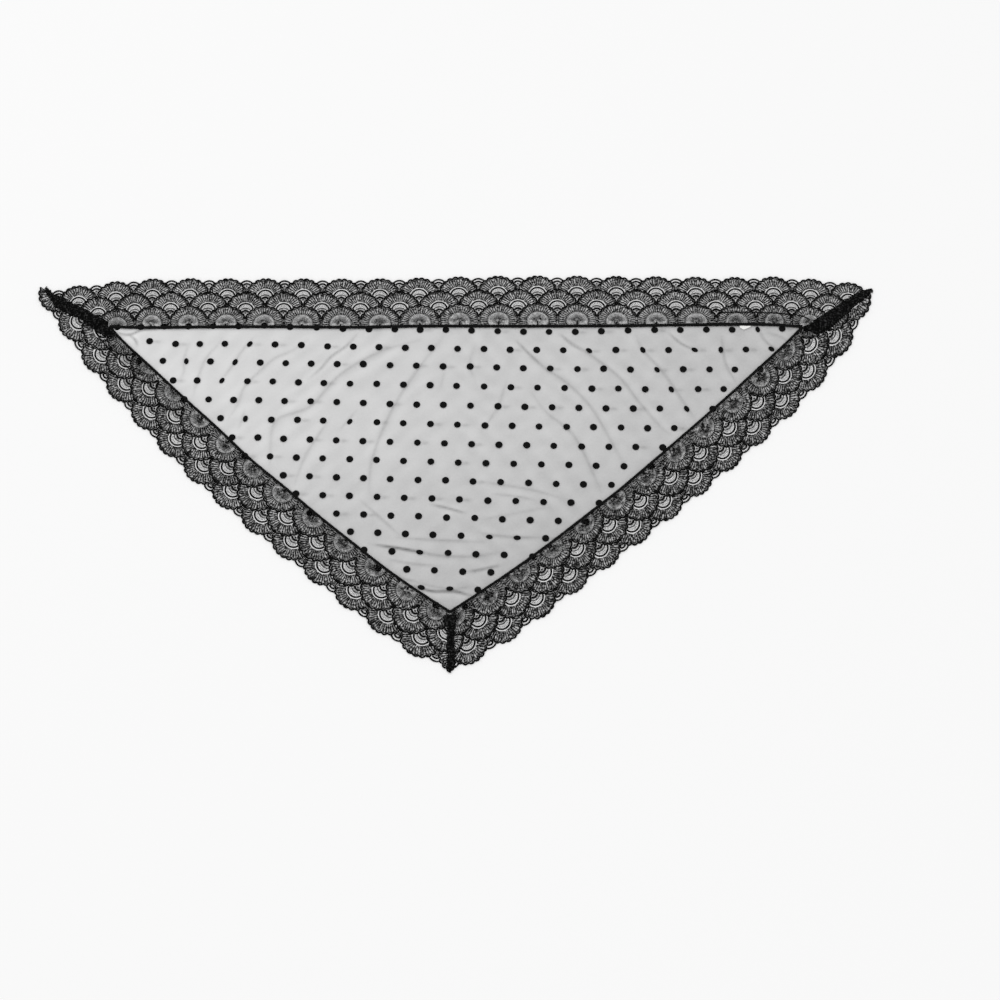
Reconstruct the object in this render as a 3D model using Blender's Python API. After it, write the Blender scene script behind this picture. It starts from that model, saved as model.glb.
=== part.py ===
"""Triangle headscarf laid flat: a sheer dotted panel with a scalloped lace band sewn to each of its
three edges, the bands joined by a gathered seam at each corner.

Metres, +Z up. The scarf lies on the plane z = 0 with its long edge along X, towards +Y, and its point
towards -Y. The origin is at the bottom centre of its bounding box.
"""

import math
from bisect import bisect_right
from collections import namedtuple

import bmesh
import bpy
from mathutils import Vector
from mathutils.geometry import delaunay_2d_cdt

# Driving dimensions, in metres.
CLOTH = 0.0010            # thickness of the panel and of the lace
GAP = 0.0003              # air between two pieces that are sewn together
ALLOWANCE = 0.0160        # panel cloth that runs on under the lace, past the seam
SEAM_IN = 0.0024          # overlocked seam: its reach on to the panel,
SEAM_OUT = 0.0024         # its reach towards the lace,
SEAM_HEIGHT = 0.0015      # and how far it stands up
SEAM_SHOULDER = 0.4       # share of that height at its two edges
SEAM_STEPS = 18           # straight lengths that make up one bowed seam
CORNER_STEPS = 5          # straight lengths round a corner
FAN_RADIUS = 0.0345       # outer fans of the lace
FAN_PITCH = 0.0650        # from one fan to the next, before the lace is eased on
FAN_STEPS = 8
HEADING_STEP = 0.01       # part of a fan over which the band's direction is taken
RUN_OUT = 0.3000          # a band is carried on this far past its seam, and the mitre cuts it
SCALLOP_HALF = 0.0090     # small scallop between two fans: half its width,
SCALLOP_DROP = 0.0035     # how far its top stays behind the fans' tops,
SCALLOP_STEPS = 4
LAP_END = 0.0015          # lace stays lifted this far past the panel's cut edge,
LAP_SLOPE = 0.0115        # then comes down to the table over this length
STRIP_LIFTED = 0.0310     # a corner strip stays lifted this far past the seam,
STRIP_DOWN = 0.0450       # and lies one cloth lower from here on
STRIP_SHOULDER = 0.45     # share of its height at its edges
FOLD_CLEAR = 0.0040       # no fold comes this near to a seam,
FOLD_FADE = 0.0200        # and it dies away over this length
GRID = 0.0260             # mesh spacing on the panel
MERGE = 0.00001

LIFT = CLOTH + GAP        # one thickness of cloth and its air

# Where the three seams meet, and the outermost point of each mitre.
CORNER_LEFT = Vector((-0.5745, 0.2545))
CORNER_RIGHT = Vector((0.5785, 0.2540))
CORNER_POINT = Vector((-0.0040, -0.2490))
TIP_LEFT = Vector((-0.6900, 0.3260))
TIP_RIGHT = Vector((0.7000, 0.3235))
TIP_POINT = Vector((-0.0030, -0.3510))

# Seam lines between the corners, clockwise. Each row is one point: x, y.
SEAM_TOP = [
    (-0.5250, 0.2525), (-0.4000, 0.2538), (-0.2850, 0.2540), (-0.1700, 0.2530), (-0.0540, 0.2552),
    (0.1180, 0.2550), (0.2930, 0.2560), (0.4080, 0.2578), (0.5240, 0.2580),
]
SEAM_RIGHT = [
    (0.5510, 0.2250), (0.4953, 0.1705), (0.4397, 0.1172), (0.3836, 0.0650), (0.3267, 0.0130),
    (0.2694, -0.0386), (0.2103, -0.0875), (0.1503, -0.1365), (0.0884, -0.1838), (0.0266, -0.2278),
]
SEAM_LEFT = [
    (-0.0358, -0.2280), (-0.0986, -0.1829), (-0.1577, -0.1348), (-0.2165, -0.0857), (-0.2739, -0.0351),
    (-0.3323, 0.0156), (-0.3867, 0.0693), (-0.4418, 0.1212), (-0.4965, 0.1745), (-0.5520, 0.2285),
]

# Line on which the centres of a band's outer fans lie, clockwise. Each row: fan number, x, y.
FANS_TOP = [
    (-1, -0.6920, 0.2880), (0, -0.6300, 0.2985), (1, -0.5680, 0.3065), (2, -0.5070, 0.3115),
    (5, -0.3180, 0.3120), (8, -0.1260, 0.3120), (11, 0.0720, 0.3170), (14, 0.2700, 0.3165),
    (17, 0.4690, 0.3145), (18, 0.5330, 0.3155), (19, 0.5950, 0.3115), (20, 0.6580, 0.3045),
    (21, 0.7150, 0.2850),
]
FANS_RIGHT = [
    (0, 0.6800, 0.3790), (1, 0.6590, 0.3030), (2, 0.6240, 0.2350), (3, 0.5770, 0.1721),
    (4, 0.5310, 0.1204), (6, 0.4332, 0.0273), (8, 0.3341, -0.0586), (10, 0.2316, -0.1424),
    (12, 0.1272, -0.2258), (13, 0.0745, -0.2660), (14, 0.0190, -0.3015), (15, -0.0370, -0.3290),
]
FANS_LEFT = [
    (-1, 0.0700, -0.3450), (0, 0.0090, -0.3165), (1, -0.0512, -0.2872), (2, -0.1052, -0.2494),
    (4, -0.2072, -0.1660), (6, -0.3099, -0.0793), (8, -0.4070, 0.0087), (10, -0.4977, 0.1047),
    (12, -0.5848, 0.2074), (13, -0.6285, 0.2685), (14, -0.6640, 0.3195), (15, -0.6830, 0.3815),
]

# How far the fans of the two side bands are slid back along their lines.
SLIDE_RIGHT = -0.0045
SLIDE_LEFT = -0.0036

# Gathered seams at the corners. Each row: distance from the inner end, reach to the left and to
# the right of the strip's axis when looking outwards, and height of its middle.
Strip = namedtuple("Strip", "along left right height")
STRIP_LEFT_AXIS = (Vector((-0.5600, 0.2430)), Vector((-0.6880, 0.3280)))
STRIP_LEFT = [
    Strip(0.0010, 0.0105, -0.0050, 0.0012), Strip(0.0080, 0.0160, -0.0036, 0.0018),
    Strip(0.0190, 0.0182, -0.0010, 0.0024), Strip(0.0245, 0.0188, 0.0067, 0.0027),
    Strip(0.0370, 0.0182, 0.0060, 0.0027), Strip(0.0500, 0.0168, 0.0052, 0.0022),
    Strip(0.0700, 0.0146, 0.0060, 0.0026), Strip(0.0870, 0.0156, 0.0035, 0.0021),
    Strip(0.1040, 0.0187, 0.0022, 0.0024), Strip(0.1190, 0.0196, 0.0020, 0.0020),
    Strip(0.1320, 0.0122, -0.0010, 0.0016), Strip(0.1450, 0.0082, 0.0010, 0.0012),
    Strip(0.1530, 0.0010, 0.0030, 0.0010),
]
STRIP_RIGHT_AXIS = (Vector((0.5770, 0.2500)), Vector((0.7000, 0.3240)))
STRIP_RIGHT = [
    Strip(0.0080, 0.0010, 0.0105, 0.0016), Strip(0.0150, 0.0014, 0.0196, 0.0024),
    Strip(0.0260, 0.0030, 0.0227, 0.0029), Strip(0.0400, 0.0040, 0.0245, 0.0031),
    Strip(0.0530, 0.0050, 0.0215, 0.0028), Strip(0.0700, 0.0061, 0.0175, 0.0029),
    Strip(0.0920, 0.0078, 0.0122, 0.0025), Strip(0.1040, 0.0086, 0.0100, 0.0023),
    Strip(0.1180, 0.0080, 0.0079, 0.0020), Strip(0.1300, 0.0070, 0.0058, 0.0015),
    Strip(0.1435, 0.0025, 0.0030, 0.0011),
]
STRIP_POINT_AXIS = (Vector((-0.0030, -0.2490)), Vector((-0.0030, -0.3510)))
STRIP_POINT = [
    Strip(0.0050, 0.0080, 0.0100, 0.0015), Strip(0.0110, 0.0090, 0.0130, 0.0024),
    Strip(0.0190, 0.0080, 0.0110, 0.0026), Strip(0.0270, 0.0070, 0.0062, 0.0022),
    Strip(0.0450, 0.0062, 0.0058, 0.0024), Strip(0.0640, 0.0064, 0.0052, 0.0021),
    Strip(0.0800, 0.0074, 0.0050, 0.0023), Strip(0.0900, 0.0080, 0.0048, 0.0018),
    Strip(0.1020, 0.0012, 0.0010, 0.0010),
]

# Largest folds of the panel. Each row: height, half width, and the points of its crest.
Fold = namedtuple("Fold", "height reach crest")
FOLDS = [
    Fold(0.0018, 0.020, [(-0.090, 0.219), (-0.124, 0.208), (-0.189, 0.166), (-0.237, 0.108), (-0.293, 0.070)]),
    Fold(0.0016, 0.018, [(-0.020, 0.220), (-0.057, 0.194), (-0.090, 0.139), (-0.121, 0.067), (-0.135, -0.020)]),
    Fold(0.0020, 0.020, [(0.110, 0.217), (0.141, 0.181), (0.199, 0.148), (0.239, 0.094), (0.268, 0.036)]),
    Fold(0.0020, 0.018, [(0.190, 0.226), (0.232, 0.194), (0.289, 0.157), (0.321, 0.103)]),
    Fold(0.0016, 0.016, [(0.318, 0.222), (0.347, 0.166), (0.372, 0.124)]),
    Fold(0.0018, 0.018, [(0.157, 0.112), (0.190, 0.066), (0.215, 0.010)]),
    Fold(0.0014, 0.016, [(0.043, -0.025), (0.100, -0.032), (0.160, -0.048)]),
    Fold(0.0018, 0.018, [(-0.105, -0.128), (-0.053, -0.143), (0.027, -0.153), (0.070, -0.148)]),
    Fold(0.0014, 0.016, [(-0.204, 0.090), (-0.235, 0.049), (-0.249, 0.000)]),
    Fold(0.0014, 0.016, [(-0.250, 0.226), (-0.306, 0.203), (-0.351, 0.160)]),
]

# Folded end of a plain ribbon label that shows below the top seam.
LABEL_LEFT = 0.4740
LABEL_RIGHT = 0.4920
LABEL_DROP = 0.0045
LABEL_DROP_RIGHT = 0.0025


def line_through(rows):
    """Smooth plane line through rows of (number, x, y), as a function of the number."""
    numbers = [row[0] for row in rows]
    points = [Vector(row[1:]) for row in rows]
    last = len(rows) - 1
    slopes = []
    for i in range(len(rows)):
        before, after = max(i - 1, 0), min(i + 1, last)
        slopes.append((points[after] - points[before]) / (numbers[after] - numbers[before]))

    def at(number):
        i = min(max(bisect_right(numbers, number) - 1, 0), last - 1)
        span = numbers[i + 1] - numbers[i]
        s = (number - numbers[i]) / span
        start = points[i] * (2 * s**3 - 3 * s**2 + 1) + slopes[i] * (span * (s**3 - 2 * s**2 + s))
        end = points[i + 1] * (3 * s**2 - 2 * s**3) + slopes[i + 1] * (span * (s**3 - s**2))
        return start + end

    return at


def inward(direction):
    """Unit vector towards the panel, to the right of a clockwise direction."""
    return Vector((direction.y, -direction.x)).normalized()


def seam_line(start, rows, end):
    """Points of one seam from corner to corner, and the outward direction at each."""
    points = [start] + [Vector(row) for row in rows] + [end]
    numbers = [0.0]
    for a, b in zip(points, points[1:]):
        numbers.append(numbers[-1] + (b - a).length)
    line = line_through([(n, p.x, p.y) for n, p in zip(numbers, points)])
    along = [numbers[-1] * step / SEAM_STEPS for step in range(SEAM_STEPS + 1)]
    stations = [line(n) for n in along]
    outwards = []
    for i in range(SEAM_STEPS + 1):
        before, after = max(i - 1, 0), min(i + 1, SEAM_STEPS)
        outwards.append(-inward(stations[after] - stations[before]))
    return stations, outwards


def beside(seam, reach):
    """The seam's points moved outwards by reach."""
    return [point + out * reach for point, out in zip(*seam)]


def ring(reach):
    """Closed outline at a distance outside all three seams, round at the corners."""
    outline = []
    for i, seam in enumerate(SEAMS):
        outline += beside(seam, reach)
        corner = seam[0][-1]
        turn_from = seam[1][-1]
        turn = turn_from.angle_signed(SEAMS[(i + 1) % 3][1][0])
        for step in range(1, CORNER_STEPS):
            angle = math.atan2(turn_from.y, turn_from.x) - turn * step / CORNER_STEPS
            outline.append(corner + Vector((math.cos(angle), math.sin(angle))) * reach)
    return outline


def is_inside(point, outline):
    """True where the point lies within the closed outline."""
    inside = False
    for a, b in zip(outline, outline[1:] + outline[:1]):
        if (a.y > point.y) != (b.y > point.y):
            if point.x < a.x + (point.y - a.y) * (b.x - a.x) / (b.y - a.y):
                inside = not inside
    return inside


def distance_to_line(point, line):
    """Distance from a point to an open line of points."""
    nearest = math.inf
    for a, b in zip(line, line[1:]):
        side = b - a
        share = min(max((point - a).dot(side) / side.length_squared, 0.0), 1.0)
        nearest = min(nearest, (point - a - side * share).length)
    return nearest


def past_seam(point):
    """Distance outside the sewing line, negative on the panel."""
    reach = distance_to_line(point, SEWN + SEWN[:1])
    return -reach if is_inside(point, SEWN) else reach


def ramp(value, high, low):
    """1 up to high, falling evenly to 0 at low."""
    return min(max((low - value) / (low - high), 0.0), 1.0)


def cut(outline, start, end, keep):
    """The part of an outline on one side of the line from start to end, half a gap clear of it.

    keep is 1 for the left side of the line and -1 for its right side."""
    across = (end - start).orthogonal().normalized() * keep
    depth = [(point - start).dot(across) - GAP / 2 for point in outline]
    kept = []
    for i, point in enumerate(outline):
        after = (i + 1) % len(outline)
        if depth[i] >= 0:
            kept.append(point)
        if (depth[i] >= 0) != (depth[after] >= 0):
            kept.append(point.lerp(outline[after], depth[i] / (depth[i] - depth[after])))
    return kept


def slab(name, outline, lines, under, over, material):
    """Closed body of cloth over a plane outline, between two heights, with edges along the lines."""
    points = list(outline)
    edges = [(i, (i + 1) % len(outline)) for i in range(len(outline))]
    for line in lines:
        first = len(points)
        points += line
        edges += [(first + i, first + i + 1) for i in range(len(line) - 1)]
    flat, _, faces, *_ = delaunay_2d_cdt(points, edges, [], 0, MERGE)

    mesh = bpy.data.meshes.new(name)
    bm = bmesh.new()
    corners = {}
    for face in faces:
        middle = sum((flat[i] for i in face), Vector((0.0, 0.0))) / len(face)
        if not is_inside(middle, outline):
            continue
        for i in face:
            if i not in corners:
                corners[i] = bm.verts.new((flat[i].x, flat[i].y, under(flat[i])))
        bm.faces.new([corners[i] for i in face])
    risen = bmesh.ops.extrude_face_region(bm, geom=bm.faces[:])["geom"]
    for vert in risen:
        if isinstance(vert, bmesh.types.BMVert):
            vert.co.z = over(vert.co.xy)
    bmesh.ops.recalc_face_normals(bm, faces=bm.faces[:])
    bm.to_mesh(mesh)
    bm.free()
    body = bpy.data.objects.new(name, mesh)
    body.data.materials.append(material)
    scarf.objects.link(body)
    return body


def cloth_material(name, colour, roughness):
    """Plain cloth of one colour."""
    material = bpy.data.materials.new(name)
    material.use_nodes = True
    shader = material.node_tree.nodes["Principled BSDF"]
    shader.inputs["Base Color"].default_value = (*colour, 1.0)
    shader.inputs["Roughness"].default_value = roughness
    shader.inputs["Metallic"].default_value = 0.0
    return material


def panel_top(point):
    """Upper side of the panel, raised along its folds."""
    height = 0.0
    for fold in FOLDS:
        crest = [Vector(xy) for xy in fold.crest]
        away = distance_to_line(point, crest) / fold.reach
        if away < 1.0:
            height = max(height, fold.height * (1.0 - away * away) ** 2)
    return CLOTH + height * (1.0 - ramp(-past_seam(point), FOLD_CLEAR, FOLD_FADE))


def lace_under(point):
    """Underside of the lace: on the table, or lifted where it laps over the panel's edge."""
    edge = ALLOWANCE + LAP_END
    return LIFT * ramp(past_seam(point), edge, edge + LAP_SLOPE)


def lace_over(point):
    return lace_under(point) + CLOTH


def scalloped_edge(fans, slide):
    """Outer edge of a band: a round fan at each whole number and a small scallop after it."""
    centres = line_through(fans)

    def place(number, along, out):
        n = number + (along + slide) / FAN_PITCH
        direction = centres(n + HEADING_STEP) - centres(n - HEADING_STEP)
        return centres(n) - inward(direction) * out

    widest = math.asin((FAN_PITCH / 2 - SCALLOP_HALF) / FAN_RADIUS)
    foot = FAN_RADIUS * math.cos(widest)
    rise = FAN_RADIUS - SCALLOP_DROP - foot
    edge = []
    for fan in range(fans[0][0], fans[-1][0]):
        for step in range(FAN_STEPS + 1):
            angle = widest * (2 * step / FAN_STEPS - 1)
            edge.append(place(fan, FAN_RADIUS * math.sin(angle), FAN_RADIUS * math.cos(angle)))
        for step in range(1, SCALLOP_STEPS):
            share = 2 * step / SCALLOP_STEPS - 1
            edge.append(place(fan + 0.5, SCALLOP_HALF * share, foot + rise * (1 - share * share)))
    return edge


def lace_band(name, fans, slide, seam, mitre_before, mitre_after):
    """One lace band, from its scalloped edge to the seam, cut along the mitre at each end."""
    inner = beside(seam, SEAM_OUT + GAP)
    before = inner[0] + (inner[0] - inner[1]).normalized() * RUN_OUT
    after = inner[-1] + (inner[-1] - inner[-2]).normalized() * RUN_OUT
    outline = scalloped_edge(fans, slide) + [after] + inner[::-1] + [before]
    outline = cut(outline, *mitre_before, -1)
    outline = cut(outline, *mitre_after, 1)
    lap = ALLOWANCE + LAP_END
    lines = [ring(lap), ring(lap + LAP_SLOPE)]
    lines = [line + line[:1] for line in lines]
    return slab(name, outline, lines, lace_under, lace_over, lace)


def seam_roll(name, seam, mitre_before, mitre_after):
    """Overlocked seam: a low round roll on the panel, beside the lace's edge."""
    outer = beside(seam, SEAM_OUT)
    inner = beside(seam, -SEAM_IN)
    outline = cut(outer + inner[::-1], *mitre_before, -1)
    outline = cut(outline, *mitre_after, 1)
    quarter = (SEAM_OUT + SEAM_IN) / 4
    lines = [beside(seam, SEAM_OUT - quarter), beside(seam, quarter - SEAM_IN)]

    def over(point):
        edge = min(distance_to_line(point, outer), distance_to_line(point, inner))
        share = SEAM_SHOULDER + (1.0 - SEAM_SHOULDER) * min(edge / quarter, 1.0)
        return LIFT + SEAM_HEIGHT * share

    return slab(name, outline, lines, lambda point: LIFT, over, thread)


def gathered_strip(name, axis, rows):
    """Gathered seam over a corner: a lumpy strip on top of the two lace bands."""
    start, end = axis
    ahead = (end - start).normalized()
    left = Vector((-ahead.y, ahead.x))
    middle = [start + ahead * row.along for row in rows]
    port = [point + left * row.left for point, row in zip(middle, rows)]
    starboard = [point - left * row.right for point, row in zip(middle, rows)]
    spine = [a.lerp(b, 0.5) for a, b in zip(port, starboard)]
    rises = line_through([(row.along, row.height, 0.0) for row in rows])
    last = len(rows) - 1
    lines = [spine] + [[port[i], spine[i], starboard[i]] for i in range(1, last)]

    def under(point):
        return GAP + CLOTH + LIFT * ramp(past_seam(point), STRIP_LIFTED, STRIP_DOWN)

    def over(point):
        rise = rises((point - start).dot(ahead)).x
        is_edge = distance_to_line(point, spine[1:-1]) > MERGE
        return under(point) + rise * (STRIP_SHOULDER if is_edge else 1.0)

    return slab(name, port + starboard[::-1], lines, under, over, gathers)


for old in list(bpy.data.objects):
    bpy.data.objects.remove(old, do_unlink=True)

scarf = bpy.data.collections.new("triangle_headscarf")
bpy.context.scene.collection.children.link(scarf)

sheer = cloth_material("sheer", (0.045, 0.043, 0.044), 0.75)
lace = cloth_material("lace", (0.018, 0.018, 0.019), 0.70)
thread = cloth_material("seam_thread", (0.008, 0.008, 0.008), 0.65)
gathers = cloth_material("gathered_lace", (0.006, 0.006, 0.006), 0.80)
ribbon = cloth_material("label_ribbon", (0.85, 0.85, 0.83), 0.50)

SEAMS = [
    seam_line(CORNER_LEFT, SEAM_TOP, CORNER_RIGHT),
    seam_line(CORNER_RIGHT, SEAM_RIGHT, CORNER_POINT),
    seam_line(CORNER_POINT, SEAM_LEFT, CORNER_LEFT),
]
SEWN = [point for stations, _ in SEAMS for point in stations[:-1]]

# Centre panel: sheer cloth with its seam allowance, flat below and raised along its folds.
panel_outline = ring(ALLOWANCE)
panel_lines = [beside(seam, -FOLD_CLEAR) for seam in SEAMS]
panel_lines += [[Vector(xy) for xy in fold.crest] for fold in FOLDS]
low = Vector((min(p.x for p in SEWN), min(p.y for p in SEWN)))
high = Vector((max(p.x for p in SEWN), max(p.y for p in SEWN)))
for row in range(1, int((high.y - low.y) / GRID) + 1):
    for column in range(int((high.x - low.x) / GRID) + 1):
        spot = low + Vector((GRID * (column + 0.5 * (row % 2)), GRID * row))
        if past_seam(spot) < -2 * FOLD_CLEAR:
            panel_lines.append([spot])
slab("centre_panel", panel_outline, panel_lines, lambda point: 0.0, panel_top, sheer)

# Lace bands, seams and corner strips. Each mitre runs from its corner out to its tip.
mitre_left = (CORNER_LEFT, TIP_LEFT)
mitre_right = (CORNER_RIGHT, TIP_RIGHT)
mitre_point = (CORNER_POINT, TIP_POINT)
SIDES = [
    ("top", FANS_TOP, 0.0, mitre_left, mitre_right),
    ("right", FANS_RIGHT, SLIDE_RIGHT, mitre_right, mitre_point),
    ("left", FANS_LEFT, SLIDE_LEFT, mitre_point, mitre_left),
]
for (side, fans, slide, before, after), seam in zip(SIDES, SEAMS):
    lace_band("lace_" + side, fans, slide, seam, before, after)
    seam_roll("seam_" + side, seam, before, after)

gathered_strip("mitre_left", STRIP_LEFT_AXIS, STRIP_LEFT)
gathered_strip("mitre_right", STRIP_RIGHT_AXIS, STRIP_RIGHT)
gathered_strip("mitre_point", STRIP_POINT_AXIS, STRIP_POINT)

# Label: a folded ribbon end, sewn into the top seam and lying on the panel.
below_seam = beside(SEAMS[0], -SEAM_IN - GAP)


def seam_y(x):
    """Height up the scarf of the top seam's lower edge at x."""
    for a, b in zip(below_seam, below_seam[1:]):
        if a.x <= x <= b.x:
            return a.y + (b.y - a.y) * (x - a.x) / (b.x - a.x)
    raise ValueError(x)


label_outline = [
    Vector((LABEL_LEFT, seam_y(LABEL_LEFT))),
    Vector((LABEL_RIGHT, seam_y(LABEL_RIGHT))),
    Vector((LABEL_RIGHT, seam_y(LABEL_RIGHT) - LABEL_DROP_RIGHT)),
    Vector(((LABEL_LEFT + LABEL_RIGHT) / 2, seam_y(LABEL_LEFT) - LABEL_DROP)),
    Vector((LABEL_LEFT, seam_y(LABEL_LEFT) - LABEL_DROP_RIGHT)),
]
slab("label_tab", label_outline, [], lambda point: LIFT, lambda point: LIFT + CLOTH, ribbon)
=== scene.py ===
"""Triangle headscarf laid flat: sheer black chiffon with flocked dots, edged with black fan lace."""

import math
import random
from collections import namedtuple

import bmesh
import bpy
import numpy as np
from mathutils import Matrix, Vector
from mathutils.geometry import delaunay_2d_cdt


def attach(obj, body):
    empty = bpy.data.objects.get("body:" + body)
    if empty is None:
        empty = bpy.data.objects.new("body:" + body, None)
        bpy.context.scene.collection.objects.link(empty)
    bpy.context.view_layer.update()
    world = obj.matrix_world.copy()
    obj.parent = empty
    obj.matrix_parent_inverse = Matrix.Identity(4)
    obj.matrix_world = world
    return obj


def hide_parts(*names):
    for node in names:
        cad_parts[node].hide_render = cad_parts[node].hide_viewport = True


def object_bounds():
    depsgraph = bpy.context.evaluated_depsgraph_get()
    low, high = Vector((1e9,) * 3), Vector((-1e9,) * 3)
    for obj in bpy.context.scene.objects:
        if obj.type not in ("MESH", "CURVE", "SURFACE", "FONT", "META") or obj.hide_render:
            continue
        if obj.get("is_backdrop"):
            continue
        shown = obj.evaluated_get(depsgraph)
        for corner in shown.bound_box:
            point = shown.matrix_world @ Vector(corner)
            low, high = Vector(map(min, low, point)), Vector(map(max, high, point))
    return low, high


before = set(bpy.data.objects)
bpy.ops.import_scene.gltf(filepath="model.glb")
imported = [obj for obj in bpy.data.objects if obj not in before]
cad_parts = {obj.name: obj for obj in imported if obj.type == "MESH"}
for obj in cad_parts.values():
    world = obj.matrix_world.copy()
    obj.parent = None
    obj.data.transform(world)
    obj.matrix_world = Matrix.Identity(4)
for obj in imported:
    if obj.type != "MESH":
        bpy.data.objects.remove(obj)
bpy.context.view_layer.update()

# Centre panel
# One triangle of sheer black chiffon. It is cut with a 16 mm allowance that runs on under the lace,
# and it lies on the table with the soft creases it was packed with.

Side = namedtuple("Side", "name roll seam")
CORNER_LEFT = (-0.5745, 0.2545)
CORNER_RIGHT = (0.5785, 0.2540)
CORNER_POINT = (-0.0040, -0.2490)
# Each sewing line: its side, half the width of its overlocking, and its points, clockwise.
SEWING_LINES = [
    Side("top", 0.0028, [
        CORNER_LEFT, (-0.5250, 0.2525), (-0.4000, 0.2538), (-0.2850, 0.2540), (-0.1700, 0.2530),
        (-0.0540, 0.2552), (0.1180, 0.2550), (0.2930, 0.2560), (0.4080, 0.2578), (0.5240, 0.2580),
        CORNER_RIGHT,
    ]),
    Side("right", 0.0021, [
        CORNER_RIGHT, (0.5510, 0.2250), (0.4953, 0.1705), (0.4397, 0.1172), (0.3836, 0.0650),
        (0.3267, 0.0130), (0.2694, -0.0386), (0.2103, -0.0875), (0.1503, -0.1365), (0.0884, -0.1838),
        (0.0266, -0.2278), CORNER_POINT,
    ]),
    Side("left", 0.0021, [
        CORNER_POINT, (-0.0358, -0.2280), (-0.0986, -0.1829), (-0.1577, -0.1348), (-0.2165, -0.0857),
        (-0.2739, -0.0351), (-0.3323, 0.0156), (-0.3867, 0.0693), (-0.4418, 0.1212),
        (-0.4965, 0.1745), (-0.5520, 0.2285), CORNER_LEFT,
    ]),
]
ALLOWANCE = 0.0160
CHIFFON_LIES = 0.0005         # the cloth's height over the table
CHIFFON_GRID = 0.0030
GRID_ROW = 0.866              # of a grid length between two rows
CORNER_TURNS = 6
SEAM_STATIONS = 120

# Creases, all lengths in mm: how high they stand, how far they spread, how much painted shade darkens
# the cloth along the crest, and where the crest runs.
Crease = namedtuple("Crease", "height spread shade crest")
CREASES = [
    # The left side, where they run down towards the left seam.
    Crease(1.1, 10, 0.045, [(-440, 225), (-447, 200), (-447, 173), (-453, 156)]),
    Crease(1.1, 11, 0.050, [(-385, 235), (-394, 220), (-412, 196), (-423, 161), (-430, 126)]),
    Crease(1.1, 10, 0.050, [(-334, 235), (-354, 208), (-368, 182), (-388, 152)]),
    Crease(1.4, 12, 0.055, [
        (-243, 232), (-269, 211), (-298, 196), (-321, 173), (-346, 144), (-356, 112), (-372, 83),
    ]),
    Crease(1.1, 7, 0.085, [(-163, 241), (-179, 220), (-205, 199), (-220, 179), (-241, 158)]),
    Crease(1.8, 14, 0.065, [(-58, 230), (-124, 208), (-189, 166), (-237, 108), (-293, 81), (-299, 5)]),
    Crease(1.5, 14, 0.065, [(-19, 237), (-65, 169), (-97, 113), (-121, 55), (-135, 2), (-136, -45)]),
    Crease(1.1, 10, 0.045, [(-200, 92), (-227, 48), (-243, 17), (-258, -30)]),
    Crease(0.9, 6, 0.140, [(-562, 243), (-541, 240), (-520, 249), (-498, 250)]),
    Crease(0.8, 6, 0.120, [(-541, 240), (-530, 229), (-527, 220)]),
    Crease(0.8, 7, 0.035, [(-344, 105), (-347, 86), (-353, 67)]),
    Crease(0.8, 7, 0.035, [(-160, 102), (-173, 85), (-187, 66)]),
    # The middle.
    Crease(0.9, 11, 0.035, [(33, 221), (25, 184), (35, 153)]),
    Crease(1, 11, 0.040, [(87, 160), (78, 127), (70, 103), (42, 61)]),
    Crease(0.8, 8, 0.030, [(-16, 175), (-24, 139)]),
    # The right side, where they run down towards the right seam.
    Crease(2, 14, 0.065, [(100, 230), (141, 185), (185, 151), (223, 109), (249, 61), (278, 2)]),
    Crease(1.2, 6, 0.075, [(103, 228), (125, 203), (145, 183)]),
    Crease(1.9, 10, 0.065, [(175, 240), (224, 203), (273, 160), (300, 121), (337, 73), (353, 58)]),
    Crease(1.2, 6, 0.075, [(175, 241), (194, 222), (212, 210)]),
    Crease(1.7, 10, 0.060, [(300, 240), (313, 210), (347, 166), (394, 85)]),
    Crease(1.1, 7, 0.090, [(355, 244), (375, 224), (400, 211)]),
    Crease(1.1, 10, 0.060, [(443, 237), (445, 206), (450, 181), (465, 150)]),
    Crease(1.7, 13, 0.060, [(128, 132), (152, 97), (184, 70), (203, 43), (221, 2), (239, -45)]),
    Crease(1, 8, 0.070, [(507, 250), (512, 233), (531, 214), (548, 209)]),
    Crease(0.8, 8, 0.050, [(520, 243), (541, 236), (556, 224)]),
    # The lower part, where they run across above the point.
    Crease(1.2, 11, 0.050, [(43, -25), (124, -39), (180, -56)]),
    Crease(0.9, 8, 0.050, [(62, -46), (100, -51), (132, -57)]),
    Crease(1.4, 7, 0.110, [(-36, -65), (-11, -71), (20, -80)]),
    Crease(1, 9, 0.030, [(43, -92), (156, -69)]),
    Crease(1.2, 9, 0.055, [(-151, -57), (-86, -118)]),
    Crease(1.5, 10, 0.070, [(40, -112), (60, -118), (102, -122), (140, -122)]),
    Crease(1.2, 8, 0.055, [(-92, -122), (-40, -126), (0, -128), (50, -130)]),
    Crease(1.9, 12, 0.070, [
        (-135, -133), (-107, -138), (-61, -145), (-32, -152), (0, -155), (40, -154), (80, -147),
    ]),
    Crease(1.2, 6, 0.150, [(-122, -135), (-85, -141), (-52, -148)]),
    Crease(1.2, 8, 0.050, [(-104, -160), (-60, -168), (-20, -171)]),
    Crease(1.3, 8, 0.110, [(24, -181), (45, -177), (75, -170)]),
    Crease(0.9, 7, 0.070, [(-90, -191), (-60, -197)]),
    Crease(1.2, 16, 0.060, [(-60, -198), (-31, -206), (0, -210), (35, -205)]),
    Crease(1.4, 7, 0.190, [(-62, -206), (-31, -214), (2, -214), (29, -221)]),
]
CREST_STEPS = 5               # straight lengths between two points of a crest
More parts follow.
